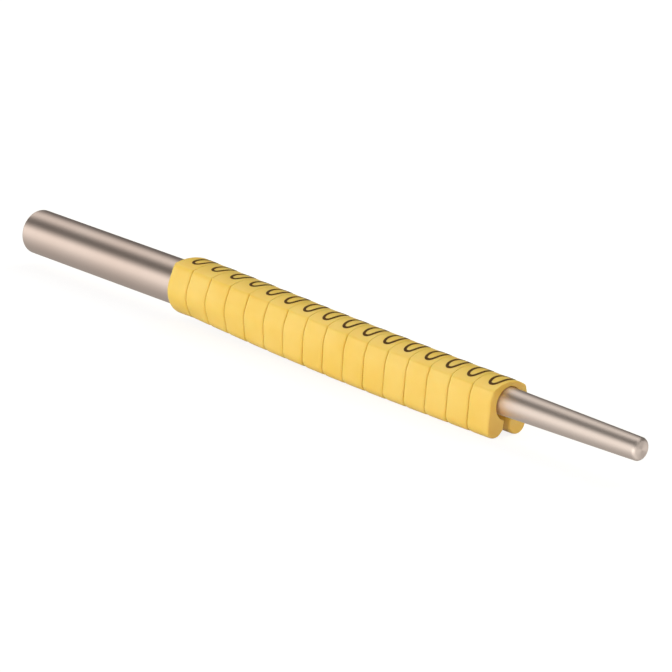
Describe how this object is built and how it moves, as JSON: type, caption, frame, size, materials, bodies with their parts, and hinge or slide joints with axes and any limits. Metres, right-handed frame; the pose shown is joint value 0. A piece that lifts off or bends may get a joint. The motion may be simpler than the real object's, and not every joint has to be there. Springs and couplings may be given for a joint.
{
  "type": "cable marker row on an applicator pin",
  "caption": "Row of yellow clip-on C-section cable markers printed with a zero, carried on a tapered nickel-plated applicator pin from which they slide onto a cable.",
  "frame": {"origin": "midway along the pin, below its axis, on the plane that the markers' feet stand on", "axes": "+X along the pin towards its thin tip, +Z from the markers' feet up to their printed tops, +Y to the far side of the picture"},
  "size_m": [0.091, 0.0062, 0.0067],
  "materials": {
    "pin": "nickel-plated, smooth turned",
    "marker": "satin soft plastic"
  },
  "bodies": {
    "pin": {"pin": "pin"},
    "row": {"marker_01": "marker", "marker_02": "marker", "marker_03": "marker", "marker_04": "marker", "marker_05": "marker", "marker_06": "marker", "marker_07": "marker", "marker_08": "marker", "marker_09": "marker", "marker_10": "marker", "marker_11": "marker", "marker_12": "marker", "marker_13": "marker", "marker_14": "marker", "marker_15": "marker"},
    "front_marker": {"marker_16": "marker"}
  },
  "joints": [
    {"name": "row_slide", "type": "slide", "parent": "pin", "child": "row", "axis": [1, 0, 0], "range_m": [0, 0.0177]},
    {"name": "front_marker_slide", "type": "slide", "parent": "row", "child": "front_marker", "axis": [1, 0, 0], "range_m": [0, 0.021]}
  ]
}
